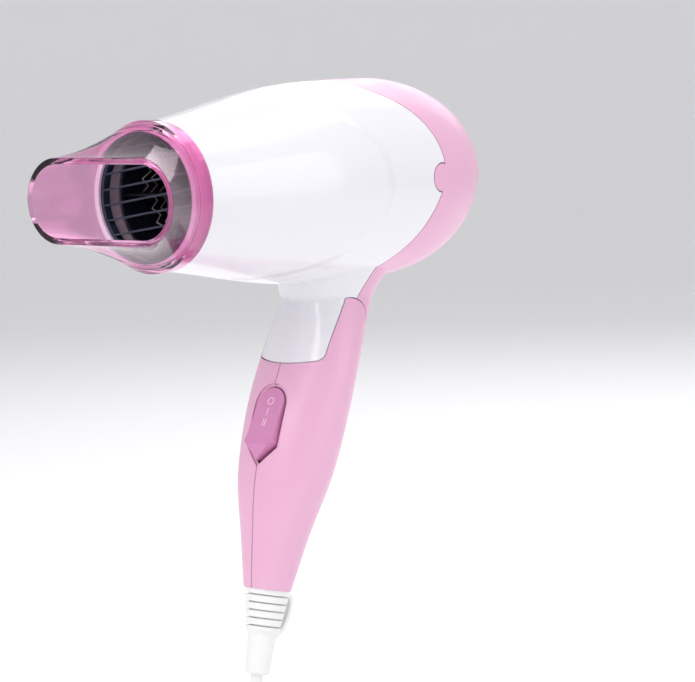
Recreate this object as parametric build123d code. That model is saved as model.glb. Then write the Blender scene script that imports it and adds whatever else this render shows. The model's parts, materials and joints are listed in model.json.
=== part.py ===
from build123d import *
import math
import os

# A folding travel hair dryer. Sizes are millimetres. The pieces are drawn with X along the barrel
# (0 at the nose, growing to the rear), Y across, Z up and 0 on the barrel's axis. save() moves
# them to the row's frame, whose origin is the middle of the hand grip.

# ---- shells
WALL = 2.2  # shell wall
SEAM = 0.4  # gap where two shells meet
RUN_FIT = 0.06  # radial clearance of a turning fit
NOSE_R = 26.4  # barrel radius at the nose
BARREL_R = 37.6  # barrel radius around the fan
FULL_X = 90.0  # where the barrel reaches its full radius
DOME_X = 107.0  # where the rear dome starts
DOME_LEN = 54.0  # half axis of the dome along the barrel
INLET_R = 21.0  # radius of the dome's flat end
INLET_BORE = INLET_R - 1.5  # opening in that end
TAB_R = 5.6  # round tab of the rear cover in each flank

# ---- spigot and concentrator nozzle
SPIGOT_R = NOSE_R - 2.0  # radius of the spigot the nozzle turns on
SPIGOT_LEN = 8.0
COLLAR_R = NOSE_R + 0.4  # nozzle collar, outside
COLLAR_LEN = 6.0
COLLAR_GAP = 0.5  # between the collar and the shoulder behind it
SLOT_X = 29.0  # how far the slot stands ahead of the nose
SLOT_WIDTH = 72.0
SLOT_HEIGHT = 30.0
NOZZLE_WALL = 2.2

# ---- fold and handle
PIVOT_X = DOME_X - 27.5
PIVOT_DROP = 13.9  # pivot below the underside of the barrel
PIVOT_Z = -(BARREL_R + PIVOT_DROP)
TONGUE_HALF = 15.5  # half width of the neck's tongue
EAR_Y = TONGUE_HALF + 0.3  # inner face of the handle's ears
EAR_R = 8.7  # round top of the ears
TONGUE_R = 24.6  # ball end of the tongue
TONGUE_ROUND = 5.0  # rounding where the ball meets the tongue's sides
PIN_R = 3.6  # hollow hinge pins
PIN_BORE = 2.2
KNUCKLE_R = 8.0
HANDLE_LEN = 96.5  # pivot to the end of the handle
GRIP_X = 58.0  # the grip point that is the row's origin
GRIP_Z = PIVOT_Z - 59.5

# ---- switch, in its own plane on the front of the handle
ROCKER_W = 12.7
ROCKER_TOP = 13.9  # along the handle, up from the middle
ROCKER_TIP = 13.8  # and down to the point
ROCKER_GAP = 0.4  # around the rocker
TIP_SWING = 1.0  # more room past the point, which swings outward as it sinks
PIVOT_DEPTH = 5.0  # rocker's pins below the surface
TRUNNION_R = 1.2

# ---- fan, motor and heater
DUCT_R = BARREL_R - WALL - 1.4
DUCT_WALL = 1.2
MOTOR_R = 11.9
MOTOR_X = 70.0
MOTOR_LEN = 24.0
SHAFT_R = 1.15
FAN_X = 97.0
FAN_TIP_GAP = 1.0
FAN_HUB_R = 9.0
BLADES = 9
VANES = 7
LEAD_R = 0.9  # insulated wires
LEAD_HOLE_X = MOTOR_X + 3.5  # where the leads pass into the duct
HEATER_X = 4.0
HEATER_LEN = 56.0
LINER_R = NOSE_R - WALL - 1.2
COIL_TURNS = 9
COIL_WIRE_R = 0.9
BOARD_HALF = LINER_R - 5.0

# ---- cord
CORD_R = 2.3
BOOT_TILT = 14.0  # degrees forward of straight down
BOOT_R = 8.4
BOOT_END_R = 6.4
RIBS = 5
RIB_PITCH = 2.83
SLEEVE_END = 31.4
COIL_COLUMNS = 3  # turns side by side
COIL_LAYERS = 4
COIL_MID_R = 23.0
FLOOR_DROP = 129.0  # the coil's surface below the origin
PLUG_PIN_R = 2.4
PLUG_PIN_LEN = 19.0
PLUG_PIN_SPACING = 19.0
PLUG_BODY = (36.0, 34.0, 14.0)

BIG = 400.0
INNER_R = BARREL_R - WALL
TO_ROW = Pos(-GRIP_X, 0, -GRIP_Z)


def save(shape, node):
    """Write one node in the row's frame."""
    export_step(TO_ROW * shape, "parts/" + node + ".step")


def many(solids):
    """Separate solids of one node."""
    return Compound(children=list(solids))


def rod(start, axis, radius, length):
    """A round bar from a point, along a direction."""
    plane = Plane(origin=start, z_dir=axis)
    return extrude(plane * Circle(radius), length)


def along_x(x, radius, length, bore=0.0):
    """A disc, bar or tube on the barrel's axis."""
    bar = rod((x, 0, 0), (1, 0, 0), radius, length)
    if bore:
        bar -= rod((x - 1, 0, 0), (1, 0, 0), bore, length + 2)
    return bar


def block(x0, x1, y0, y1, z0, z1):
    """A box from its six limits."""
    return Pos((x0 + x1) / 2, (y0 + y1) / 2, (z0 + z1) / 2) * Box(x1 - x0, y1 - y0, z1 - z0)


def both_sides(y0, y1):
    """The two slabs between y0 and y1 from the middle plane."""
    slab = block(-BIG, BIG, y0, y1, -BIG, BIG)
    return slab + mirror(slab, Plane.XZ)


def across(x, z, radius, half):
    """A round bar on an axis along Y, centred on the middle plane."""
    return rod((x, -half, z), (0, 1, 0), radius, 2 * half)


# ---------------------------------------------------------------- outer form
def barrel(inset=0.0):
    """The barrel as a body of revolution, drawn in by an inset."""
    swell = BARREL_R - NOSE_R
    nose = (0, NOSE_R - inset)
    lower = (0.33 * FULL_X, NOSE_R + 0.47 * swell - inset)
    upper = (0.64 * FULL_X, NOSE_R + 0.865 * swell - inset)
    full = (FULL_X, BARREL_R - inset)
    long_r = DOME_LEN - inset
    short_r = BARREL_R - inset
    end_angle = math.degrees(math.asin(INLET_R / short_r))
    end_x = DOME_X + long_r * math.cos(math.radians(end_angle))
    side = Spline(nose, lower, upper, full, tangents=[(8, 1), (1, 0)])
    flat = Line(full, (DOME_X, short_r))
    dome = EllipticalCenterArc((DOME_X, 0), long_r, short_r, start_angle=end_angle, arc_size=90 - end_angle)
    back = Polyline((end_x, INLET_R), (end_x, 0), (0, 0), nose)
    return revolve(make_face(side + flat + dome + back), Axis.X)


def dome_end():
    """Where the dome is cut flat for the inlet."""
    return DOME_X + DOME_LEN * math.sqrt(1 - (INLET_R / BARREL_R) ** 2)


def grip_stations(past_end):
    """Height, middle in X, half depth and half width of the neck and handle, top to bottom."""
    under = -BARREL_R
    neck = [
        (under + 22.6 + past_end, DOME_X - 9.0, 36.0, 22.0),
        (under + 7.6, DOME_X - 15.0, 28.0, 19.5),
        (under - 0.4, DOME_X - 19.7, 21.2, 18.0),
        (under - 6.4, DOME_X - 22.1, 17.4, 17.3),
    ]
    # share of the handle's length below the pivot, then as above
    handle = [
        (0.14, PIVOT_X - 4.5, 16.0, 20.5),
        (0.33, PIVOT_X - 12.1, 17.6, 20.5),
        (0.58, PIVOT_X - 20.6, 16.6, 18.5),
        (0.80, PIVOT_X - 27.2, 12.5, 13.0),
        (1.02 + past_end / HANDLE_LEN, PIVOT_X - 33.0, 8.6, 8.6),
    ]
    return neck + [(PIVOT_Z - share * HANDLE_LEN, x, a, b) for share, x, a, b in handle]


def between(stations, i, t):
    """A station on the smooth curve through the stations, a share t of the way from i to i + 1."""
    before, here = stations[max(i - 1, 0)], stations[i]
    there, after = stations[i + 1], stations[min(i + 2, len(stations) - 1)]
    step = there[0] - here[0]
    values = [here[0] + step * t]
    for n in (1, 2, 3):
        leave = (there[n] - before[n]) / (there[0] - before[0]) * step
        arrive = (after[n] - here[n]) / (after[0] - here[0]) * step
        value = (2 * t**3 - 3 * t**2 + 1) * here[n] + (t**3 - 2 * t**2 + t) * leave
        values.append(value + (3 * t**2 - 2 * t**3) * there[n] + (t**3 - t**2) * arrive)
    return tuple(values)


def grip(inset=0.0, steps=4):
    """The neck and handle as level ellipses joined in short steps, drawn in by an inset."""
    stations = grip_stations(3.0 if inset else 0.0)
    fine = [between(stations, i, k / steps) for i in range(len(stations) - 1) for k in range(steps)]
    fine.append(stations[-1])
    rings = [Plane.XY.offset(z) * Pos(x, 0) * Ellipse(a - inset, b - inset) for z, x, a, b in fine]
    return loft(rings, ruled=True)


GRIP = grip()
GRIP_HOLLOW = grip(WALL, 2)
GRIP_INSIDE = grip(WALL / 2, 2)
BOOT_TOP = Vector(PIVOT_X - 32.5, 0, PIVOT_Z - HANDLE_LEN)
TILT = math.radians(BOOT_TILT)
BOOT_DIR = Vector(-math.sin(TILT), 0, -math.cos(TILT))
PIVOT = Pos(PIVOT_X, 0, PIVOT_Z)
CORD_EXIT = BOOT_TOP + BOOT_DIR * SLEEVE_END


def below_pivot():
    """Everything lower than the pivot."""
    return block(-BIG, BIG, -BIG, BIG, -BIG, PIVOT_Z)


def tongue_ball(radius, half, rounding):
    """A ball about the pivot with two flat sides and rounded rims."""
    ball = (PIVOT * Sphere(radius)) & block(-BIG, BIG, -half, half, -BIG, BIG)
    rims = ball.edges().group_by(Axis.Y)
    return fillet(rims[0] + rims[-1], rounding)


def seam_region(shift=0.0):
    """Everything ahead of the seam between the two barrel shells."""
    line = Spline(
        (DOME_X - 26.0 + shift, BARREL_R * 1.12),
        (DOME_X - 18.1 + shift, BARREL_R * 0.947),
        (DOME_X - 6.6 + shift, BARREL_R * 0.758),
        (DOME_X + 2.9 + shift, BARREL_R * 0.431),
        (DOME_X + 5.5 + shift, BARREL_R * 0.03),
        (DOME_X + 0.4 + shift, BARREL_R * -0.316),
        (DOME_X - 5.7 + shift, BARREL_R * -0.596),
        (DOME_X - 14.4 + shift, BARREL_R * -0.854),
        (PIVOT_X + 3.2 + shift, PIVOT_Z + 7.7),
        (PIVOT_X - 4.5 + shift, PIVOT_Z - 13.5),
        (PIVOT_X - 11.5 + shift, PIVOT_Z - 33.0),
    )
    top = line @ 0
    bottom = line @ 1
    ahead = Polyline(bottom, (-BIG, bottom.Y), (-BIG, top.Y), top)
    face = make_face(line + ahead)
    return extrude(Plane.XZ * face, BIG, both=True)


def tab(radius):
    """The round tab that the rear cover reaches forward with on each flank."""
    return across(DOME_X + 4.0, 0, radius, BIG)


# ---------------------------------------------------------------- barrel shells
def hinge_zone():
    """The space that the neck may fill around the fold."""
    above = block(-BIG, BIG, -BIG, BIG, PIVOT_Z + SEAM, BIG)
    pockets = across(PIVOT_X, PIVOT_Z, EAR_R + SEAM, BIG) & both_sides(TONGUE_HALF, BIG)
    return (above - pockets) + tongue_ball(TONGUE_R, TONGUE_HALF, TONGUE_ROUND)


def barrel_shell():
    """Barrel, neck and tongue in one hollow piece, before the seam divides it."""
    outer = barrel() + (GRIP & hinge_zone())
    side_wall = block(-BIG, BIG, -(TONGUE_HALF - WALL), TONGUE_HALF - WALL, -BIG, BIG)
    ball = block(-BIG, BIG, -BIG, BIG, PIVOT_Z, BIG) + PIVOT * Sphere(TONGUE_R - WALL)
    hollow = barrel(WALL) + (GRIP_HOLLOW & side_wall & ball)
    shell = outer - hollow - along_x(dome_end() - 20, INLET_BORE, 40)
    shell -= across(PIVOT_X, PIVOT_Z, PIN_R + RUN_FIT, BIG) & both_sides(0, EAR_Y)
    shell -= along_x(-1, SPIGOT_R - WALL, 20)
    return shell


def spigot():
    """The reduced nose that carries the nozzle."""
    tube = along_x(-SPIGOT_LEN, SPIGOT_R, SPIGOT_LEN + 2.0, SPIGOT_R - WALL)
    shoulder = along_x(0, NOSE_R - 0.3, 2.0, SPIGOT_R - WALL)
    return tube + shoulder


COVER_SCREWS = [(PIVOT_Z + 12.4, PIVOT_X - 1.5, 22.0), (PIVOT_Z - 12.5, PIVOT_X - 7.5, 12.0)]
SCREW_R = 1.4
SCREW_HEAD_R = 2.6


def cover_bosses(radius, x0, x1, z):
    """A post for a cover screw, inside the neck."""
    return rod((x0, 0, z), (1, 0, 0), radius, x1 - x0) & GRIP_INSIDE


def barrel_shells():
    """The white front housing and the pink rear cover."""
    shell = barrel_shell()
    front = (shell & seam_region()) + spigot()
    rear = shell - seam_region(SEAM)
    front -= tab(TAB_R)
    rear += shell & tab(TAB_R - SEAM)
    for z, x, length in COVER_SCREWS:
        front += cover_bosses(3.0, x - 11, x, z)
        front -= rod((x - 9, 0, z), (1, 0, 0), SCREW_R, 10)
        rear += cover_bosses(3.6, x + SEAM, x + length + 12, z)
        rear -= rod((x, 0, z), (1, 0, 0), SCREW_R + 0.3, 60)
        rear -= rod((x + length - 8, 0, z), (1, 0, 0), SCREW_HEAD_R + 0.3, 60)
    return front, rear


def cover_screws():
    """Two screws that hold the rear cover, heads to the rear."""
    made = []
    for z, x, length in COVER_SCREWS:
        shank = rod((x - 8, 0, z), (1, 0, 0), SCREW_R, length)
        head = rod((x - 8 + length, 0, z), (1, 0, 0), SCREW_HEAD_R, 2.0)
        slot = block(x - 7 + length, x - 5 + length, -0.4, 0.4, z - 1.8, z + 1.8)
        made.append(shank + head - slot)
    return many(made)


def rear_grille():
    """Domed inlet grille of rings and spokes, with a skirt in the cover's opening."""
    x = dome_end()
    rim = INLET_R - 0.2
    skirt_in = INLET_BORE - 1.3
    bulge = 4.5
    thick = 1.5
    grille = along_x(x - 6, INLET_BORE - 0.1, 7.0, skirt_in) + along_x(x, rim, 1.2, skirt_in)
    face_out = Spline((x + 1 + bulge, 0), (x + 1 + 0.75 * bulge, rim / 2), (x + 0.9, rim), tangents=[(0, 1), (-1, 2)])
    face_in = Spline(
        (x + 1 + bulge - thick, 0),
        (x + 1 + 0.75 * bulge - thick, rim / 2),
        (x + 1 - thick + 0.4, rim),
        tangents=[(0, 1), (-1, 2)],
    )
    sides = Line(face_out @ 0, face_in @ 0) + Line(face_out @ 1, face_in @ 1)
    cap = revolve(make_face(face_out + face_in + sides), Axis.X)
    cap &= along_x(x, rim, 20)
    spokes = block(x - 5, x + 20, -0.8, 0.8, -INLET_R, INLET_R)
    for turn in range(1, 4):
        spokes += Rot(X=45 * turn) * block(x - 5, x + 20, -0.8, 0.8, -INLET_R, INLET_R)
    grille += cap & spokes
    for ring in range(5):
        outer_r = 3.1 + 3.7 * ring
        inner_r = outer_r - 1.5 if ring else 0.0
        grille += cap & along_x(x, outer_r, 20, inner_r)
    return grille + (cap & along_x(x, rim, 20, skirt_in))


def lint_screen():
    """Frame and bars of the screen that sits inside the grille's skirt."""
    x = dome_end() - 4.0
    radius = INLET_BORE - 1.3
    screen = along_x(x, radius, 1.0, radius - 1.5)
    for n in range(-3, 4):
        y = n * 4.6
        half = math.sqrt((radius - 0.7) ** 2 - y**2)
        screen += block(x, x + 0.5, y - 0.3, y + 0.3, -half, half)
        screen += block(x + 0.5, x + 1.0, -half, half, y - 0.3, y + 0.3)
    return screen


def hinge_knuckle():
    """Drum between the tongue's walls that carries the pins' inner ends."""
    half = TONGUE_HALF - WALL
    drum = across(PIVOT_X, PIVOT_Z, KNUCKLE_R, half) & GRIP_HOLLOW
    return drum - across(PIVOT_X, PIVOT_Z, PIN_R + RUN_FIT, half + 1)


# ---------------------------------------------------------------- heater
def outlet_grille():
    """Dark ring with thin parallel ribs across the outlet."""
    radius = SPIGOT_R - WALL
    ring = along_x(-SPIGOT_LEN + 1, radius, 3.0, radius - 1.4)
    pitch = 5.4
    slant = Rot(X=-8.5)
    for n in range(-3, 4):
        z = n * pitch
        half = math.sqrt((radius - 0.7) ** 2 - z**2)
        ring += slant * block(-SPIGOT_LEN + 1.2, -SPIGOT_LEN + 3.6, -half, half, z - 0.35, z + 0.35)
    return ring


def heat_liner():
    """Mica tube around the heater."""
    return along_x(HEATER_X, LINER_R, HEATER_LEN, LINER_R - 0.6)


def heater_board(level):
    """One of two crossed mica boards, with end tabs that reach the liner."""
    x1 = HEATER_X + HEATER_LEN
    reach = LINER_R - 0.6 - 0.4
    board = block(HEATER_X, x1, -0.4, 0.4, -BOARD_HALF, BOARD_HALF)
    board += block(HEATER_X, HEATER_X + 3, -0.4, 0.4, -reach, reach)
    board += block(x1 - 3, x1, -0.4, 0.4, -reach, reach)
    middle = (HEATER_X + x1) / 2
    if level:
        board -= block(middle, x1 + 1, -0.5, 0.5, -0.4, 0.4)
        return Rot(X=90) * board
    return board - block(HEATER_X - 1, middle, -0.5, 0.5, -0.4, 0.4)


def heating_coils():
    """Rings of heater wire wound around the boards."""
    pitch = (HEATER_LEN - 14) / (COIL_TURNS - 1)
    ring_r = BOARD_HALF + COIL_WIRE_R + 0.05
    turns = []
    for n in range(COIL_TURNS):
        place = Pos(HEATER_X + 7 + n * pitch, 0, 0) * Rot(Y=90)
        turns.append(place * Torus(ring_r, COIL_WIRE_R))
    return many(turns)


def thermostat():
    """Bimetal cut-out on the upright board."""
    x = HEATER_X + HEATER_LEN - 12
    base = block(x, x + 8, 0.4, 2.0, 5, 13)
    return base + rod((x + 4, 2.0, 9), (0, 1, 0), 3.4, 2.2)


def thermal_fuse():
    """One-shot fuse with its two leads on the other side of the board."""
    x = HEATER_X + HEATER_LEN - 24
    body = rod((x, -2.0, 8), (1, 0, 0), 1.6, 9)
    lead = rod((x - 5, -2.0, 8), (1, 0, 0), 0.4, 19)
    return body + lead


# ---------------------------------------------------------------- motor and fan
def motor_can():
    """Drawn steel can, closed at the rear, bored for the shaft."""
    can = along_x(MOTOR_X, MOTOR_R, MOTOR_LEN, MOTOR_R - 1.0)
    return can + along_x(MOTOR_X + MOTOR_LEN - 1.5, MOTOR_R - 0.5, 1.5, SHAFT_R + RUN_FIT)


def motor_end_cap():
    """Cap on the can's open end, with the front bush."""
    cap = along_x(MOTOR_X - 1.5, MOTOR_R, 1.5, SHAFT_R + RUN_FIT)
    return cap + along_x(MOTOR_X - 3.5, 4.0, 2.0, SHAFT_R + RUN_FIT)


def motor_rotor():
    """Armature core on the shaft."""
    return along_x(MOTOR_X + 4, MOTOR_R - 3.5, MOTOR_LEN - 9, SHAFT_R)


def motor_shaft():
    """Shaft through the motor and the fan's hub."""
    return along_x(MOTOR_X - 3.0, SHAFT_R, FAN_X + 12 - MOTOR_X + 3.0)


def rectifier_board():
    """Round board on the motor's front."""
    return along_x(MOTOR_X - 5.0, MOTOR_R - 1, 1.2, 4.2)


def rectifier_diodes():
    """Four diodes on the board."""
    made = []
    for turn in range(4):
        spin = Rot(X=45 + 90 * turn)
        made.append(spin * rod((MOTOR_X - 6.4, -2.5, 7.6), (0, 1, 0), 1.4, 5))
    return many(made)


def fan_housing():
    """Duct with stator vanes and the cup that holds the motor."""
    x0 = MOTOR_X - 2
    length = DOME_X + 8 - x0
    duct = along_x(x0, DUCT_R, length, DUCT_R - DUCT_WALL)
    seat = along_x(FULL_X + 2, INNER_R, 6, DUCT_R - DUCT_WALL)
    cup_r = MOTOR_R + 1.4
    cup = along_x(MOTOR_X, cup_r, MOTOR_LEN, MOTOR_R)
    notch = block(LEAD_HOLE_X - 7, LEAD_HOLE_X + 3, -9.5, 9.5, -DUCT_R - 1, 7 - DUCT_R)
    body = duct + seat + cup - notch
    for n in range(VANES):
        vane = block(MOTOR_X + 3, MOTOR_X + MOTOR_LEN - 3, -0.6, 0.6, cup_r - 0.5, DUCT_R - 0.5)
        body += Rot(X=360 / VANES * n) * vane
    return body


def fan_impeller():
    """Axial fan with pitched blades."""
    tip = DUCT_R - DUCT_WALL - FAN_TIP_GAP
    hub = along_x(FAN_X, FAN_HUB_R, 12)
    hub = fillet(hub.edges().group_by(Axis.X)[-1], 3)
    blade = Pos(FAN_X + 6.5, 0, tip / 2 + 4) * Rot(Z=32) * Box(13, 1.3, tip - 5)
    reach = along_x(FAN_X + 0.5, tip, 12)
    for n in range(BLADES):
        hub += (Rot(X=360 / BLADES * n) * blade) & reach
    return hub - along_x(FAN_X - 1, SHAFT_R, 20)


def wire(points, radius, bend):
    """A bent insulated wire."""
    path = FilletPolyline(*points, radius=bend)
    start = Plane(origin=path @ 0, z_dir=path % 0)
    return sweep(start * Circle(radius), path=path)


def motor_leads():
    """Two insulated wires from the neck, through the duct's notch, to the rectifier."""
    made = []
    x0 = MOTOR_X - 8.6
    for side in (-1, 1):
        points = [
            (PIVOT_X - 1, side * 9.2, PIVOT_Z + 12),
            (LEAD_HOLE_X, side * 6.5, PIVOT_Z + 18),
            (LEAD_HOLE_X - 3.5, side * 5.5, PIVOT_Z + 23.5),
            (x0, side * 4.5, -8.5),
        ]
        made.append(wire(points, LEAD_R, 4))
    return many(made)


# ---------------------------------------------------------------- nozzle
def nozzle_section(x, width, height, inset):
    """Rounded slot section across the barrel's axis."""
    plane = Plane(origin=(x, 0, 0), x_dir=(0, 1, 0), z_dir=(-1, 0, 0))
    w = width - 2 * inset
    h = height - 2 * inset
    return plane * RectangleRounded(w, h, h / 2 - 0.05)


def nozzle_form(inset):
    """The nozzle's skin from its collar to its slot."""
    round_d = 2 * COLLAR_R
    rear = nozzle_section(-COLLAR_LEN, round_d + 0.2, round_d, inset)
    middle_width = 0.4 * round_d + 0.6 * SLOT_WIDTH
    middle = nozzle_section(-0.72 * SLOT_X, middle_width, SLOT_HEIGHT * 1.14, inset)
    mouth = nozzle_section(-SLOT_X, SLOT_WIDTH, SLOT_HEIGHT, inset)
    return loft([rear, middle, mouth], ruled=False)


def air_nozzle():
    """Concentrator nozzle that turns on the spigot."""
    skin = nozzle_form(0) - nozzle_form(NOZZLE_WALL)
    collar = along_x(-COLLAR_LEN, COLLAR_R, COLLAR_LEN - COLLAR_GAP, SPIGOT_R + RUN_FIT)
    skin -= along_x(-SPIGOT_LEN - 0.5, SPIGOT_R + RUN_FIT, 20)
    return skin + collar


# ---------------------------------------------------------------- handle
def grip_front(z_share):
    """The point on the front of the handle at a share of its length below the pivot."""
    z = PIVOT_Z - z_share * HANDLE_LEN
    level = GRIP & block(-BIG, BIG, -0.05, 0.05, z - 0.05, z + 0.05)
    return Vector(level.bounding_box().min.X, 0, z)


SWITCH_HIGH = grip_front(0.223)
SWITCH_LOW = grip_front(0.506)
SWITCH_UP = (SWITCH_HIGH - SWITCH_LOW).normalized()
SWITCH_OUT = Vector(-SWITCH_UP.Z, 0, SWITCH_UP.X)
SWITCH_MID = (SWITCH_HIGH + SWITCH_LOW) * 0.5
# In this plane x runs along Y, y up the handle and z out of it.
SWITCH = Plane(origin=SWITCH_MID, x_dir=SWITCH_UP.cross(SWITCH_OUT), z_dir=SWITCH_OUT)


def rocker_outline(gap, swing=0.0):
    """Round at the top, pointed at the bottom."""
    half = ROCKER_W / 2 + gap
    crown = ROCKER_TOP + gap - half
    shoulder = -(ROCKER_TIP - 6.5 + swing)
    tip = -(ROCKER_TIP + gap + swing)
    right = Polyline((0, tip), (half, shoulder), (half, crown))
    top = CenterArc((0, crown), half, 0, 180)
    left = Polyline((-half, crown), (-half, shoulder), (0, tip))
    return make_face(right + top + left)


def handle_shell():
    """Hollow handle with its ears, switch opening and end hole, before it is divided."""
    ears = (across(PIVOT_X, PIVOT_Z, EAR_R, BIG) + below_pivot()) & both_sides(EAR_Y, BIG)
    trunk = below_pivot() & block(-BIG, BIG, -EAR_Y, EAR_Y, -BIG, BIG)
    trunk -= tongue_ball(TONGUE_R + SEAM, EAR_Y, TONGUE_ROUND)
    end = Plane(origin=BOOT_TOP, z_dir=BOOT_DIR)
    past_end = extrude(end * Rectangle(BIG, BIG), BIG)
    outer = (GRIP & (ears + trunk)) - past_end
    shell = outer - GRIP_HOLLOW
    ear_boss = across(PIVOT_X, PIVOT_Z, EAR_R - 1, BIG) & both_sides(EAR_Y, BIG)
    shell += GRIP & ear_boss
    shell -= across(PIVOT_X, PIVOT_Z, PIN_R, EAR_Y + 0.7)
    shell -= extrude(SWITCH * rocker_outline(ROCKER_GAP, TIP_SWING), 12, both=True)
    shell -= extrude(SWITCH.offset(-1.2) * rocker_outline(ROCKER_GAP + 1.0, TIP_SWING), 12)
    return shell


HANDLE_SCREWS = [(PIVOT_X - 3.5, PIVOT_Z - 34.0), (PIVOT_X - 22.0, PIVOT_Z - 71.0)]
CLAMP_Z = PIVOT_Z - 84.5
CLAMP_X = BOOT_TOP.X + (CLAMP_Z - BOOT_TOP.Z) * math.tan(TILT)
CLAMP_PITCH = 4.7


def handle_halves():
    """The two halves, divided on the middle plane, with their screw posts."""
    shell = handle_shell()
    left = shell & block(-BIG, BIG, -BIG, 0, -BIG, BIG)
    right = shell & block(-BIG, BIG, 0, BIG, -BIG, BIG)
    for x, z in HANDLE_SCREWS:
        left += rod((x, -BIG, z), (0, 1, 0), 3.2, BIG) & GRIP_INSIDE
        left -= rod((x, -9, z), (0, 1, 0), SCREW_R, 10)
        right += rod((x, 0, z), (0, 1, 0), 4.0, BIG) & GRIP_INSIDE
        right -= rod((x, -1, z), (0, 1, 0), SCREW_R + 0.3, BIG)
        right -= rod((x, 5, z), (0, 1, 0), SCREW_HEAD_R + 0.3, BIG)
    for side in (-1, 1):
        x = CLAMP_X + side * CLAMP_PITCH
        left += rod((x, -BIG, CLAMP_Z), (0, 1, 0), 2.0, BIG + CORD_R) & GRIP_INSIDE
        left -= rod((x, -4.5, CLAMP_Z), (0, 1, 0), 0.9, 10)
    return left, right


def handle_screws():
    """Two screws through the handle halves, heads on the right."""
    made = []
    for x, z in HANDLE_SCREWS:
        shank = rod((x, -8, z), (0, 1, 0), SCREW_R, 13)
        head = rod((x, 5, z), (0, 1, 0), SCREW_HEAD_R, 2.0)
        slot = block(x - 1.8, x + 1.8, 6, 8, z - 0.4, z + 0.4)
        made.append(shank + head - slot)
    return many(made)


def hinge_pins():
    """Two hollow pins, fast in the ears, that the neck turns on."""
    pin = rod((PIVOT_X, 4.0, PIVOT_Z), (0, 1, 0), PIN_R, EAR_Y + 0.7 - 4.0)
    pin -= rod((PIVOT_X, 3.0, PIVOT_Z), (0, 1, 0), PIN_BORE, EAR_Y - 0.2 - 3.0)
    return many([pin, mirror(pin, Plane.XZ)])


def switch_block(x0, x1, y0, y1, z0, z1):
    """A box in the switch's own plane."""
    return SWITCH.location * block(x0, x1, y0, y1, z0, z1)


def switch_rod(y, z, radius, half):
    """A bar across the switch's own plane."""
    return SWITCH.location * rod((-half, y, z), (1, 0, 0), radius, 2 * half)


def switch_rocker():
    """The rocker at O: its top pressed in and its chin standing out."""
    top = ROCKER_TOP
    tip = -ROCKER_TIP
    side = Polyline(
        (top, -0.9),
        (-5.0, 1.7),
        (-8.2, 2.8),
        (tip, 0.9),
        (tip, -6.0),
        (-7.0, -6.8),
        (-6.0, -2.3),
        (6.0, -2.3),
        (7.0, -6.8),
        (top, -5.2),
        close=True,
    )
    across_plane = SWITCH * Plane(origin=(0, 0, 0), x_dir=(0, 1, 0), z_dir=(1, 0, 0))
    half = ROCKER_W / 2
    cap = extrude(across_plane * make_face(side), half, both=True)
    cap &= extrude(SWITCH * rocker_outline(0), 12, both=True)
    cap += switch_rod(0, -PIVOT_DEPTH, 2.6, 4.2) + switch_block(-4.2, 4.2, -1.5, 1.5, -4, -1)
    return cap + switch_rod(0, -PIVOT_DEPTH, TRUNNION_R, 6.0)


def switch_body():
    """Switch case with two cheeks that hold the rocker's pins."""
    case = switch_block(-6.2, 6.2, -9, 9, -19, -10.5)
    for side in (-1, 1):
        x0, x1 = sorted((side * 4.7, side * 6.0))
        case += switch_block(x0, x1, -2.0, 2.0, -11, -PIVOT_DEPTH)
        case += SWITCH.location * rod((x0, 0, -PIVOT_DEPTH), (1, 0, 0), 2.0, x1 - x0)
    return case - switch_rod(0, -PIVOT_DEPTH, TRUNNION_R + RUN_FIT, 6.5)


TERMINALS = (-4.0, 0.0, 4.0)


def switch_terminals():
    """Three blade terminals behind the switch."""
    return many(switch_block(x - 0.4, x + 0.4, -2.4, 2.4, -24.5, -19) for x in TERMINALS)


def mains_wires():
    """The cable's end inside the handle and the wires it splits into."""
    start = BOOT_TOP - BOOT_DIR * 6
    stem_len = 14.0
    split = start - BOOT_DIR * stem_len
    made = [rod(start, -BOOT_DIR, CORD_R, stem_len)]
    screw_x, screw_z = HANDLE_SCREWS[1]
    for side, x in ((1, TERMINALS[0]), (-1, TERMINALS[2])):
        below = SWITCH.from_local_coords(Vector(x, -16, -22))
        end = SWITCH.from_local_coords(Vector(x, -2.4, -22))
        beside = Vector(screw_x - 8.7, side * 2.6, screw_z + 6.5)
        made.append(wire([split + Vector(0, side * 1.1, 0), beside, below, end], LEAD_R, 6))
    return many(made)


def cord_clamp():
    """Bar that presses the cable into the left half."""
    bar = block(CLAMP_X - 6.6, CLAMP_X + 6.6, CORD_R, CORD_R + 1.8, CLAMP_Z - 2.2, CLAMP_Z + 2.2)
    for side in (-1, 1):
        bar -= rod((CLAMP_X + side * CLAMP_PITCH, 0, CLAMP_Z), (0, 1, 0), 1.1, 10)
    return bar


def clamp_screws():
    """Two small screws through the clamp."""
    made = []
    for side in (-1, 1):
        x = CLAMP_X + side * CLAMP_PITCH
        shank = rod((x, -4, CLAMP_Z), (0, 1, 0), 0.9, CORD_R + 1.8 + 4)
        made.append(shank + rod((x, CORD_R + 1.8, CLAMP_Z), (0, 1, 0), 1.7, 1.2))
    return many(made)


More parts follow.
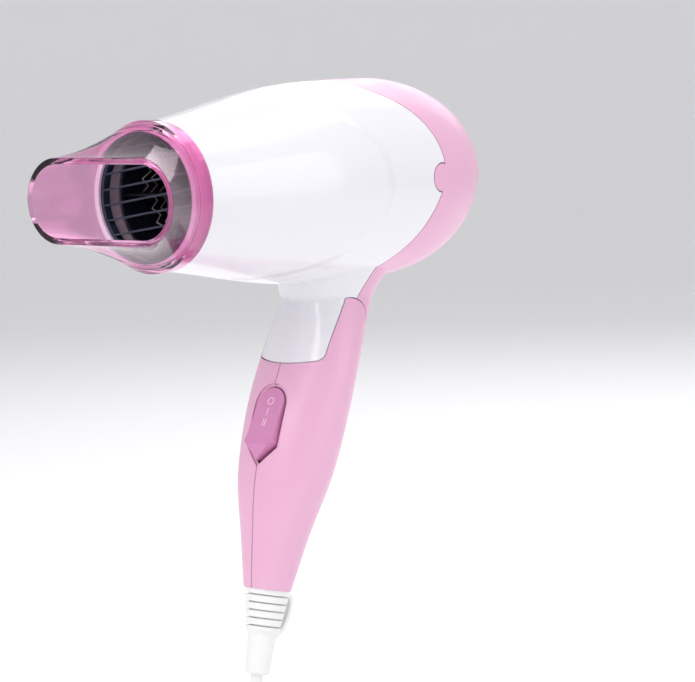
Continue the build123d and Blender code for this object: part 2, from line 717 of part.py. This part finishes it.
# ---------------------------------------------------------------- cord
def cord_boot():
    """Ribbed bend protector with its sleeve and hang loop."""
    plane = Plane(origin=BOOT_TOP, x_dir=(math.cos(TILT), 0, -math.sin(TILT)), z_dir=(0, -1, 0))
    # drawn with x out from the axis and y towards the handle
    taper = (BOOT_R - BOOT_END_R) / (RIBS * RIB_PITCH)
    outline = [(0, 6.0), (6.2, 6.0), (6.2, 0.0), (BOOT_R, 0.0)]
    for n in range(RIBS):
        down = (n + 0.78) * RIB_PITCH
        radius = BOOT_R - taper * down
        outline += [(radius, -down + 0.28), (radius - 1.3, -down + 0.28)]
        outline += [(radius - 1.3, -down - 0.28), (radius, -down - 0.28)]
    foot = RIBS * RIB_PITCH + 1.0
    outline += [(BOOT_END_R, -foot), (5.3, -foot - 1.2), (4.6, -SLEEVE_END + 0.8)]
    outline += [(3.8, -SLEEVE_END), (0, -SLEEVE_END)]
    face = plane * make_face(Polyline(*outline, close=True))
    boot = revolve(face, Axis(BOOT_TOP, BOOT_DIR))
    path = Spline((7.0, -1.4), (11.2, -2.6), (11.4, -7.0), (8.6, -foot + 1.0), (4.6, -foot - 2.0))
    strap = plane * (Plane(origin=path @ 0, x_dir=(0, 0, 1), z_dir=path % 0) * Rectangle(4.4, 1.5))
    return boot + sweep(strap, path=plane * path)


COIL_X = 4.4  # these two are in the row's frame, like the route
COIL_Y = -40.0
LIE_Z = -FLOOR_DROP + CORD_R
CORD_ROUTE = [
    (-23.6, -2.0, -95.0),
    (-24.0, -8.5, -108.0),
    (-23.6, -18.5, -118.5),
    (-23.3, -30.0, -125.2),
]
TAIL_ROUTE = [
    (18.0, -67.4, LIE_Z + 12.3),
    (31.0, -65.6, LIE_Z + 7.2),
    (40.5, -63.4, LIE_Z + 4.7),
]


def cord_tube(points, label):
    """Straight runs joined by arcs, each as large as its runs allow."""
    points = [Vector(*p) for p in points]
    radii = []
    for a, b, c in zip(points, points[1:], points[2:]):
        turn = math.radians((b - a).get_angle(c - b))
        shorter = min((b - a).length, (c - b).length)
        radii.append(0.45 * shorter / math.tan(turn / 2))
    print(label, "arc radii", [round(r, 1) for r in radii])
    path = FilletPolyline(*points, radius=radii)
    start = Plane(origin=path @ 0, z_dir=path % 0)
    tube = sweep(start * Circle(CORD_R), path=path)
    section = math.pi * CORD_R**2
    print(label, "volume", round(tube.volume, 1), "section x length", round(section * path.length, 1))
    return tube


COIL_OUT_R = COIL_MID_R + 2 * CORD_R * (COIL_COLUMNS - 1) / 2
COIL_HEIGHT = 2 * CORD_R * COIL_LAYERS


def cords():
    """The free cord: its run, its coil, its tail, the tie and the plug."""
    exit_point = TO_ROW * Pos(CORD_EXIT)
    start = exit_point.position
    coil_start = (COIL_X - COIL_OUT_R, COIL_Y, LIE_Z)
    run = cord_tube([start, start + BOOT_DIR * 14] + CORD_ROUTE + [coil_start], "cord_run")
    tail_start = (COIL_X, COIL_Y - COIL_OUT_R, LIE_Z + COIL_HEIGHT - 2 * CORD_R)
    plug_x = COIL_X + 48.0
    body_x, body_y, body_z = PLUG_BODY
    plug_z = -FLOOR_DROP + body_z / 2
    plug_y = TAIL_ROUTE[-1][1]
    tail = cord_tube([tail_start] + TAIL_ROUTE + [(plug_x, plug_y, plug_z)], "cord_tail")
    ring = Cylinder(COIL_OUT_R + CORD_R, COIL_HEIGHT)
    ring -= Cylinder(COIL_MID_R * 2 - COIL_OUT_R - CORD_R, COIL_HEIGHT)
    ring = Pos(COIL_X, COIL_Y, -FLOOR_DROP + COIL_HEIGHT / 2) * ring
    tie_in = Pos(COIL_X + COIL_MID_R, COIL_Y, -FLOOR_DROP + COIL_HEIGHT / 2)
    width = 2 * CORD_R * COIL_COLUMNS
    tie = Pos(0, 0, 0.55) * Box(width + 3.4, 9, COIL_HEIGHT + 1.1) - Box(width + 1.4, 10, COIL_HEIGHT)
    neck = loft([
        Plane(origin=(plug_x, plug_y, plug_z), z_dir=(1, 0, 0)) * Circle(CORD_R + 1.2),
        Plane(origin=(plug_x + 14, plug_y, plug_z), z_dir=(1, 0, 0)) * Circle(5.4),
    ])
    body = Pos(plug_x + 14 + (body_x - 14) / 2, plug_y, plug_z) * Box(body_x - 14, body_y, body_z)
    body = fillet(body.edges(), 4.0) + neck
    pins = []
    for side in (-1, 1):
        at = (plug_x + body_x, plug_y + side * PLUG_PIN_SPACING / 2, plug_z)
        pin = rod(at, (1, 0, 0), PLUG_PIN_R, PLUG_PIN_LEN)
        pins.append(fillet(pin.edges().group_by(Axis.X)[-1], 1.5))
    back = TO_ROW.inverse()
    made = {
        "cord_run": run,
        "cord_coil": ring - run - tail,
        "cord_tail": tail,
        "cord_tie": tie_in * tie - ring,
        "plug_body": body,
        "plug_pins": many(pins),
    }
    return {node: back * shape for node, shape in made.items()}


# ---------------------------------------------------------------- write the nodes
os.makedirs("parts", exist_ok=True)
front_housing, rear_cover = barrel_shells()
handle_left, handle_right = handle_halves()
NODES = {
    "front_housing": front_housing,
    "rear_cover": rear_cover,
    "cover_screws": cover_screws(),
    "rear_grille": rear_grille(),
    "lint_screen": lint_screen(),
    "hinge_knuckle": hinge_knuckle(),
    "outlet_grille": outlet_grille(),
    "heat_liner": heat_liner(),
    "heater_board_upright": heater_board(False),
    "heater_board_level": heater_board(True),
    "heating_coils": heating_coils(),
    "thermostat": thermostat(),
    "thermal_fuse": thermal_fuse(),
    "motor_can": motor_can(),
    "motor_end_cap": motor_end_cap(),
    "motor_rotor": motor_rotor(),
    "motor_shaft": motor_shaft(),
    "rectifier_board": rectifier_board(),
    "rectifier_diodes": rectifier_diodes(),
    "fan_housing": fan_housing(),
    "fan_impeller": fan_impeller(),
    "motor_leads": motor_leads(),
    "air_nozzle": air_nozzle(),
    "handle_left": handle_left,
    "handle_right": handle_right,
    "handle_screws": handle_screws(),
    "hinge_pins": hinge_pins(),
    "switch_rocker": switch_rocker(),
    "switch_body": switch_body(),
    "switch_terminals": switch_terminals(),
    "mains_wires": mains_wires(),
    "cord_clamp": cord_clamp(),
    "clamp_screws": clamp_screws(),
    "cord_boot": cord_boot(),
}
NODES.update(cords())
for name, shape in NODES.items():
    save(shape, name)
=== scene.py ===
"""A folding travel hair dryer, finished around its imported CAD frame."""

import json
import math

import bmesh
import bpy
from mathutils import Matrix, Vector

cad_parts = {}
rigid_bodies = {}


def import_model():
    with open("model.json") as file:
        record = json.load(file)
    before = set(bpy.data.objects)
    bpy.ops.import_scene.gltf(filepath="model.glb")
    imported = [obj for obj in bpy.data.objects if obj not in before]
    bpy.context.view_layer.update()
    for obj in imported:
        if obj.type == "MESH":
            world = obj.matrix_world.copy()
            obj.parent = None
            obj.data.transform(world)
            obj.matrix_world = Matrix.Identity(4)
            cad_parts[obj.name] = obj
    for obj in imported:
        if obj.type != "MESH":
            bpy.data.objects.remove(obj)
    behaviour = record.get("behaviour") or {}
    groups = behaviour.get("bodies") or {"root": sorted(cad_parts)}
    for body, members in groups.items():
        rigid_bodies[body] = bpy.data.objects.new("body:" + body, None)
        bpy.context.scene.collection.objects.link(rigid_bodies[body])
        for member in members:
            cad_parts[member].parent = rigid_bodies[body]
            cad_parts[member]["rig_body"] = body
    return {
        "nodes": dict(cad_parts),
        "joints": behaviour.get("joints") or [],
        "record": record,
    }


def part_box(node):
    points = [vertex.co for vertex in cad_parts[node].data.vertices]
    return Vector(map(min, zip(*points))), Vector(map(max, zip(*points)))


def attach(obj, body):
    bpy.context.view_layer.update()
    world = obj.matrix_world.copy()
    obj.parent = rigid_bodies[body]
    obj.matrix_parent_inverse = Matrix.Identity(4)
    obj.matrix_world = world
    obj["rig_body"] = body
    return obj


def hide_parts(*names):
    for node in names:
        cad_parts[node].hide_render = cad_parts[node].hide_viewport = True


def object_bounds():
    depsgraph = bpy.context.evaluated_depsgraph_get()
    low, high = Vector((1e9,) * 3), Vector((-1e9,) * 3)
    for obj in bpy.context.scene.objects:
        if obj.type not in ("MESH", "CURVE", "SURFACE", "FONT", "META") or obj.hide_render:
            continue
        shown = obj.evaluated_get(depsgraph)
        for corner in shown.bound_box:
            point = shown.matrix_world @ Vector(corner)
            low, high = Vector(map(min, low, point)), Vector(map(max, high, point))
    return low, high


# Lengths are metres in the row's frame: X along the barrel towards its inlet, Y across, Z up.
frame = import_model()
CAD_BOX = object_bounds()
NODES = frame["nodes"]
JOINTS = {joint["name"]: joint for joint in frame["joints"]}
MM = 0.001

FLOOR_Z = CAD_BOX[0][2]
AXIS_Z = JOINTS["nozzle_turn"]["pos_m"][2]
SPIGOT_LEN = 8 * MM
NOSE_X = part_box("front_housing")[0].x + SPIGOT_LEN


def link(name, data):
    """A new object in the scene with this data."""
    made = bpy.data.objects.new(name, data)
    bpy.context.collection.objects.link(made)
    return made


def direction(azimuth, elevation):
    """The way out from the dryer at two angles in degrees. Azimuth 0 is towards -Y."""
    turn, rise = math.radians(azimuth), math.radians(elevation)
    return Vector((math.sin(turn) * math.cos(rise), -math.cos(turn) * math.cos(rise), math.sin(rise)))


def linear(red, green, blue):
    """The linear colour of an 8-bit display colour."""
    return tuple((level / 255) ** 2.2 for level in (red, green, blue))


# ---------------------------------------------------------------- camera and studio
def photographer(target, distance, azimuth, elevation, roll, lens):
    """The camera, looking at a target from a distance. Azimuth 0 looks along +Y."""
    turn, lean = math.radians(azimuth), math.radians(roll)
    back = direction(azimuth, elevation)
    level = Vector((math.cos(turn), math.sin(turn), 0))
    upright = back.cross(level)
    right = level * math.cos(lean) + upright * math.sin(lean)
    up = upright * math.cos(lean) - level * math.sin(lean)
    data = bpy.data.cameras.new("camera")
    data.lens = lens
    data.clip_start = 0.05
    camera = link("camera", data)
    turned = Matrix((right, up, back)).transposed().to_4x4()
    camera.matrix_world = Matrix.Translation(target + back * distance) @ turned
    bpy.context.scene.camera = camera


def soft_box(name, azimuth, elevation, distance, size, watts):
    """A square studio light that faces the dryer."""
    away = direction(azimuth, elevation)
    data = bpy.data.lights.new(name, "AREA")
    data.size = size
    data.energy = watts
    light = link(name, data)
    light.location = MIDDLE + away * distance
    light.rotation_euler = away.to_track_quat("Z", "Y").to_euler()


MIDDLE = Vector((38.4 * MM, 0, 49.7 * MM))  # what the camera and the lights aim at
VIEW_AZIMUTH = -48.5
photographer(MIDDLE, distance=1.0, azimuth=VIEW_AZIMUTH, elevation=6.4, roll=-2.1, lens=136.7)
soft_box("key", VIEW_AZIMUTH - 40, 40, distance=1.3, size=1.0, watts=8.0)
soft_box("fill", VIEW_AZIMUTH + 62, 15, distance=1.4, size=1.0, watts=3.2)
soft_box("top", 40, 75, distance=1.3, size=1.1, watts=7.0)
soft_box("rim", VIEW_AZIMUTH + 165, 35, distance=1.3, size=0.9, watts=4.0)

scene = bpy.context.scene
scene.view_settings.view_transform = "Standard"
world = bpy.data.worlds.new("studio")
world.use_nodes = True
sky = world.node_tree.nodes["Background"].inputs
sky["Color"].default_value = (0.97, 0.97, 1.0, 1)
sky["Strength"].default_value = 0.4
scene.world = world


# ---------------------------------------------------------------- materials
def node(tree, kind, sockets=None, **settings):
    """A shader node with its settings, each named socket linked or given a plain value."""
    made = tree.nodes.new("ShaderNode" + kind)
    for name, value in settings.items():
        setattr(made, name, value)
    for name, value in (sockets or {}).items():
        if isinstance(value, bpy.types.NodeSocket):
            tree.links.new(value, made.inputs[name])
        else:
            made.inputs[name].default_value = value
    return made


def calc(tree, operation, *values):
    """A Math node's result."""
    return node(tree, "Math", dict(enumerate(values)), operation=operation).outputs[0]


def ramp(tree, value, low, high, start, end):
    """A smooth step from start to end as the value goes from low to high."""
    sockets = {"Value": value, "From Min": low, "From Max": high, "To Min": start, "To Max": end}
    return node(tree, "MapRange", sockets, interpolation_type="SMOOTHSTEP").outputs[0]


def blend_colors(tree, factor, a, b):
    """A colour between a and b."""
    return node(tree, "Mix", {0: factor, 6: a, 7: b}, data_type="RGBA").outputs[2]


def noise(tree, place, size, detail=2.0):
    """Noise with features of about a size."""
    return node(tree, "TexNoise", {"Vector": place, "Scale": 1 / size, "Detail": detail}).outputs["Fac"]


SEAM_SHADE = 0.45  # the colour of a moulded line darkened with painted shade, as a share of the clean one


def finish(
    name, color, rough, *, metal=0.0, coat=0.0, grain=0.5, relief=8.0, mottle=0.03, edge=0.25, shape=None
):
    """A surface with fine grain in its relief, slow changes in colour and gloss, and rounded edges.

    grain and edge are millimetres and relief is thousandths of one. shape draws moulded lines: it
    returns a height in metres and a share of painted shade in the line, both over the object's own place.
    """
    material = bpy.data.materials.new(name)
    material.use_nodes = True
    tree = material.node_tree
    shader = tree.nodes["Principled BSDF"]
    place = node(tree, "TexCoord").outputs["Object"]
    slow = noise(tree, place, 22 * MM)
    dark = tuple(value * (1 - mottle) for value in color)
    light = tuple(min(1, value * (1 + mottle)) for value in color)
    tone = blend_colors(tree, slow, (*dark, 1), (*light, 1))
    height = calc(tree, "MULTIPLY", noise(tree, place, grain * MM, 3.0), relief * MM / 1000)
    if shape:
        line_height, painted_shade = shape(tree, place)
        height = calc(tree, "ADD", height, line_height)
        # painted shade: the moulded line's colour is darkened as if shaded in its groove
        if painted_shade is not None:
            tone = blend_colors(tree, painted_shade, tone, (*(SEAM_SHADE * value for value in color), 1))
    tree.links.new(tone, shader.inputs["Base Color"])
    gloss = ramp(tree, noise(tree, place, 9 * MM, 4.0), 0.3, 0.7, rough * 0.85, rough * 1.2)
    tree.links.new(gloss, shader.inputs["Roughness"])
    bump = node(tree, "Bump", {"Height": height, "Distance": 1.0, "Strength": 1.0})
    if edge:
        rounded = node(tree, "Bevel", {"Radius": edge * MM}, samples=4).outputs[0]
        tree.links.new(rounded, bump.inputs["Normal"])
    tree.links.new(bump.outputs[0], shader.inputs["Normal"])
    shader.inputs["Metallic"].default_value = metal
    shader.inputs["Coat Weight"].default_value = coat
    shader.inputs["Coat Roughness"].default_value = 0.06
    return material


LEAF_MID_X = NOSE_X + 30 * MM
LEAF_LONG = 51.5 * MM
LEAF_TALL = 32.0 * MM
LEAF_POWER = 2.2
LEAF_STEP = 0.8 * MM
LEAF_SOFT = 0.12  # half the width of its sloping rim, as a share of its size


def leaf_step(tree, place):
    """The soft raised leaf on each flank of the white housing."""
    axes = node(tree, "SeparateXYZ", {0: place}).outputs

    def reach(axis, middle, half):
        """How far out a place is along an axis: 1 is the leaf's edge."""
        away = calc(tree, "DIVIDE", calc(tree, "SUBTRACT", axes[axis], middle), half)
        return calc(tree, "POWER", calc(tree, "ABSOLUTE", away), LEAF_POWER)

    out = calc(tree, "ADD", reach(0, LEAF_MID_X, LEAF_LONG), reach(2, AXIS_Z, LEAF_TALL))
    return ramp(tree, out, 1 - LEAF_SOFT, 1 + LEAF_SOFT, LEAF_STEP, 0.0), None


PARTING_HALF = 0.14 * MM
PARTING_DEPTH = 0.12 * MM
PARTING_SHADE = 0.75


def parting_line(tree, place):
    """The fine line where the two handle halves meet: a shallow groove, darkened with painted shade."""
    aside = calc(tree, "ABSOLUTE", node(tree, "SeparateXYZ", {0: place}).outputs[1])
    height = ramp(tree, aside, PARTING_HALF, PARTING_HALF * 2.2, -PARTING_DEPTH, 0.0)
    # the second value is the share of painted shade along the groove
    return height, ramp(tree, aside, PARTING_HALF, PARTING_HALF * 2, PARTING_SHADE, 0.0)


def clear_magenta():
    """Tinted clear plastic that lets lamps through to what is behind it."""
    tint = linear(240, 176, 214)
    material = finish("clear_magenta", tint, 0.05, grain=3.0, relief=4.0, mottle=0.02, edge=0.3)
    tree = material.node_tree
    shader = tree.nodes["Principled BSDF"]
    shader.inputs["Transmission Weight"].default_value = 1.0
    shader.inputs["IOR"].default_value = 1.46
    passing = node(tree, "BsdfTransparent", {"Color": (*linear(235, 172, 210), 1)})
    to_lamps = node(tree, "LightPath").outputs["Is Shadow Ray"]
    mixed = node(tree, "MixShader", {0: to_lamps, 1: shader.outputs[0], 2: passing.outputs[0]})
    tree.links.new(mixed.outputs[0], tree.nodes["Material Output"].inputs["Surface"])
    return material


CASING_PINK = linear(232, 176, 206)
FINISHES = {
    "shell_white": finish(
        "gloss_white", linear(236, 235, 240), 0.16, coat=0.6, relief=1.5, mottle=0.01, shape=leaf_step
    ),
    "shell_pink": finish("satin_pink", CASING_PINK, 0.36, coat=0.15, relief=3.0, shape=parting_line),
    "nozzle_magenta": clear_magenta(),
    "rocker_magenta": finish("gloss_magenta", linear(212, 138, 184), 0.2, coat=0.5, relief=3.0, edge=0.45),
    "grille_dark": finish("dark_phenolic", linear(44, 62, 72), 0.38, relief=14.0, edge=0.15),
    "mica": finish("dark_mica", linear(24, 38, 48), 0.5, coat=0.2, grain=1.6, relief=20.0, mottle=0.2),
    "nichrome": finish("nichrome", linear(190, 184, 180), 0.3, metal=1.0, edge=0.0),
    "steel": finish("steel", linear(170, 170, 175), 0.32, metal=1.0, mottle=0.06),
    "brass": finish("brass", linear(205, 170, 100), 0.3, metal=1.0, mottle=0.08),
    "screw_steel": finish("zinc_plate", linear(165, 165, 172), 0.3, metal=1.0, mottle=0.08),
    "pin_nickel": finish("nickel", linear(205, 203, 198), 0.2, metal=1.0, grain=0.3, relief=3.0),
    "black_plastic": finish("black_nylon", linear(34, 34, 38), 0.48, relief=14.0),
    "board_green": finish("printed_board", linear(38, 92, 52), 0.4, coat=0.3, mottle=0.12),
    "fan_plastic": finish("dark_nylon", linear(52, 54, 60), 0.42, relief=12.0),
    "wire_insulation": finish("silicone", linear(120, 70, 55), 0.55, relief=16.0, edge=0.0),
    "cord_white": finish(
        "soft_pvc", linear(242, 242, 240), 0.42, coat=0.1, grain=0.35, relief=10.0, mottle=0.015, edge=0.2
    ),
    "screen": finish("woven_mesh", linear(96, 88, 94), 0.45, metal=0.8, grain=0.25, relief=60.0, edge=0.0),
    "tie_white": finish("tie_plastic", linear(222, 222, 226), 0.5, relief=14.0),
}


def paint(piece, material):
    """Gives a piece one material all over."""
    if piece.material_slots:
        for slot in piece.material_slots:
            slot.material = material
    else:
        piece.data.materials.append(material)


for part in frame["record"]["subparts"]:
    paint(NODES[part["node"]], FINISHES[part["material_slot"]])


# ---------------------------------------------------------------- floor and backdrop
def backdrop():
    """A pale floor that curves up into a wall all round."""
    rim = 2.2  # the flat floor's radius
    bend = 1.2
    height = 5.0
    profile = [(0, FLOOR_Z), (rim, FLOOR_Z)]
    for angle in (0.3, 0.6, 0.9, 1.2, 1.5):
        profile.append((rim + bend * math.sin(angle), FLOOR_Z + bend * (1 - math.cos(angle))))
    profile.append((rim + bend, FLOOR_Z + height))
    solid = bmesh.new()
    around = 64
    rings = []
    for out, up in profile:
        turns = [2 * math.pi * k / around for k in range(around)]
        rings.append([solid.verts.new((out * math.cos(t), out * math.sin(t), up)) for t in turns])
    for low, high in zip(rings, rings[1:]):
        for k in range(around):
            after = (k + 1) % around
            solid.faces.new((low[k], low[after], high[after], high[k]))
    bmesh.ops.remove_doubles(solid, verts=solid.verts, dist=MM)
    for face in solid.faces:
        face.smooth = True
    mesh = bpy.data.meshes.new("backdrop")
    solid.to_mesh(mesh)
    solid.free()
    piece = link("backdrop", mesh)
    paper = finish("studio_paper", (0.93, 0.93, 0.94), 0.8, grain=2.0, relief=20.0, mottle=0.01, edge=0.0)
    glow = paper.node_tree.nodes["Principled BSDF"].inputs
    glow["Emission Color"].default_value = (1, 1, 1, 1)
    glow["Emission Strength"].default_value = 0.08  # paper lit from behind, so that the wall stays pale
    paint(piece, paper)


backdrop()


# ---------------------------------------------------------------- casing
CREASE = math.radians(30)  # a sharper edge than this is a real one
WELD = 0.002 * MM


def smooth_copy(name):
    """A node's mesh in one skin, shaded smooth but for its real edges, in place of the node."""
    source = NODES[name]
    mesh = source.data.copy()
    if "custom_normal" in mesh.attributes:
        mesh.attributes.remove(mesh.attributes["custom_normal"])
    solid = bmesh.new()
    solid.from_mesh(mesh)
    bmesh.ops.remove_doubles(solid, verts=solid.verts, dist=WELD)
    for face in solid.faces:
        face.smooth = True
    for edge in solid.edges:
        edge.smooth = edge.calc_face_angle(math.pi) < CREASE
    solid.to_mesh(mesh)
    solid.free()
    piece = link(name + "_skin", mesh)
    piece.modifiers.new("even_normals", "WEIGHTED_NORMAL").keep_sharp = True
    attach(piece, source["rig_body"])
    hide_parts(name)


for shell in ("front_housing", "rear_cover", "handle_left", "handle_right", "air_nozzle"):
    smooth_copy(shell)


# ---------------------------------------------------------------- heater
def heater_ribbon():
    """Resistance wire bent in a zigzag and wound round the mica boards."""
    low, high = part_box("heating_coils")
    inset = 0.6 * MM  # keeps the wire inside the CAD coil's box
    radius = (high.z - low.z) / 2 - inset
    turns = 9
    folds = 44  # bends in one turn
    swing = 1.7 * MM
    data = bpy.data.curves.new("heater_ribbon", "CURVE")
    data.dimensions = "3D"
    data.bevel_depth = 0.32 * MM
    data.bevel_resolution = 2
    line = data.splines.new("POLY")
    count = turns * folds
    line.points.add(count)
    for n, point in enumerate(line.points):
        angle = 2 * math.pi * n / folds
        along = low.x + swing + (high.x - low.x - 2 * swing) * n / count
        side = swing if n % 2 else -swing
        point.co = (along + side, radius * math.cos(angle), AXIS_Z + radius * math.sin(angle), 1)
    piece = link("heater_ribbon", data)
    paint(piece, FINISHES["nichrome"])
    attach(piece, "barrel")
    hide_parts("heating_coils")


heater_ribbon()


# ---------------------------------------------------------------- switch marks
SWITCH_TILT = math.radians(21.55)  # the handle's front leans back from upright
SWITCH_OUT = Vector((-math.cos(SWITCH_TILT), 0, math.sin(SWITCH_TILT)))
SWITCH_UP = Vector((math.sin(SWITCH_TILT), 0, math.cos(SWITCH_TILT)))
PIVOT_DEPTH = 5.0 * MM  # the rocker's pins below the handle's surface
SWITCH_MID = Vector(JOINTS["rocker_tilt"]["pos_m"]) + SWITCH_OUT * PIVOT_DEPTH
FACET_LOW = (-5.0 * MM, 1.7 * MM)  # the rocker's marked facet: up the handle, out of it
FACET_HIGH = (13.9 * MM, -0.9 * MM)
MARK_SIZE = 4.2 * MM  # also the step from one mark to the next
MARK_DEPTH = 0.08 * MM


def switch_marks():
    """O, I and II down the rocker's upper facet."""
    slope = (FACET_HIGH[1] - FACET_LOW[1]) / (FACET_HIGH[0] - FACET_LOW[0])
    up = (SWITCH_UP + SWITCH_OUT * slope).normalized()
    out = (SWITCH_OUT - SWITCH_UP * slope).normalized()
    across = up.cross(out)
    material = finish("mark_ink", linear(244, 208, 228), 0.4, grain=0.3, edge=0.0)
    for name, text, steps in (("mark_off", "O", 2), ("mark_one", "I", 1), ("mark_two", "II", 0)):
        data = bpy.data.curves.new(name, "FONT")
        data.body = text
        data.size = MARK_SIZE
        data.extrude = MARK_DEPTH
        data.align_x = "CENTER"
        data.align_y = "CENTER"
        piece = link(name, data)
        rise = steps * MARK_SIZE
        surface = FACET_LOW[1] + slope * (rise - FACET_LOW[0])
        place = SWITCH_MID + SWITCH_UP * rise + SWITCH_OUT * surface
        turned = Matrix((across, up, out)).transposed().to_4x4()
        piece.matrix_world = Matrix.Translation(place) @ turned
        paint(piece, material)
        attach(piece, "rocker")


switch_marks()


# ---------------------------------------------------------------- cord
CORD_D = 4.6 * MM
CORD_EXIT = Vector((-18.5963, 0, -67.4673)) * MM
BOOT_TILT = math.radians(14.0)
BOOT_DIR = Vector((-math.sin(BOOT_TILT), 0, -math.cos(BOOT_TILT)))
STRAIGHT_LEAD = 14 * MM  # the cord leaves the boot straight
LIE_Z = FLOOR_Z + CORD_D / 2
COIL_X = 4.4 * MM
COIL_Y = -40.0 * MM
COIL_MID_R = 23.0 * MM
COIL_COLUMNS = 3
COIL_TURNS = 11.25
TURN_POINTS = 20


def coil_radius(turn):
    """The radius of a turn: the layers are wound inwards and outwards in turn."""
    layer, column = divmod(turn, COIL_COLUMNS)
    inward = column if layer % 2 == 0 else COIL_COLUMNS - 1 - column
    return COIL_MID_R + CORD_D * ((COIL_COLUMNS - 1) / 2 - inward)


def ease(share):
    """A smooth step from 0 to 1."""
    share = min(max(share, 0), 1)
    return share * share * (3 - 2 * share)


def coil_points():
    """The put-away length. A turn shifts across in its first quarter, and a layer's last turn
    rises in its last quarter."""
    points = []
    stretch = 1 / math.cos(math.pi / TURN_POINTS)  # the spline cuts inside its control points
    for n in range(round(COIL_TURNS * TURN_POINTS)):
        turn, step = divmod(n, TURN_POINTS)
        share = step / TURN_POINTS
        before = coil_radius(max(turn - 1, 0))
        radius = before + (coil_radius(turn) - before) * ease(share * 4)
        layer, column = divmod(turn, COIL_COLUMNS)
        rise = ease(share * 4 - 3) if column == COIL_COLUMNS - 1 else 0
        angle = math.pi + 2 * math.pi * share
        reach = radius * stretch
        height = LIE_Z + CORD_D * (layer + rise)
        points.append((COIL_X + reach * math.cos(angle), COIL_Y + reach * math.sin(angle), height))
    return points


def mains_cord():
    """One free cord from the boot down to the floor, round its coil and to the plug."""
    # Listed in millimetres.
    lead = [(-23.6, -2.0, -95.0), (-24.0, -8.5, -108.0), (-23.6, -18.5, -118.5), (-23.3, -30.0, -125.2)]
    tail = [(4.4, -67.6, -112.9), (18.0, -67.4, -114.4), (31.0, -65.6, -119.5), (40.5, -63.4, -122.0)]
    plug_low, plug_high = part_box("plug_body")
    plug_mid = (plug_low + plug_high) / 2
    route = [CORD_EXIT, CORD_EXIT + BOOT_DIR * STRAIGHT_LEAD]
    route += [Vector(point) * MM for point in lead]
    route += [Vector(point) for point in coil_points()]
    route += [Vector(point) * MM for point in tail]
    route.append(Vector((plug_low.x, plug_mid.y, plug_mid.z)))
    data = bpy.data.curves.new("mains_cord", "CURVE")
    data.dimensions = "3D"
    data.bevel_depth = CORD_D / 2
    data.bevel_resolution = 5
    data.resolution_u = 6
    data.use_fill_caps = True
    line = data.splines.new("NURBS")
    line.points.add(len(route) - 1)
    for point, place in zip(line.points, route):
        point.co = (*place, 1)
    line.order_u = 3
    line.use_endpoint_u = True
    piece = link("mains_cord", data)
    paint(piece, FINISHES["cord_white"])
    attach(piece, "handle")
    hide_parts("cord_run", "cord_coil", "cord_tail")


mains_cord()
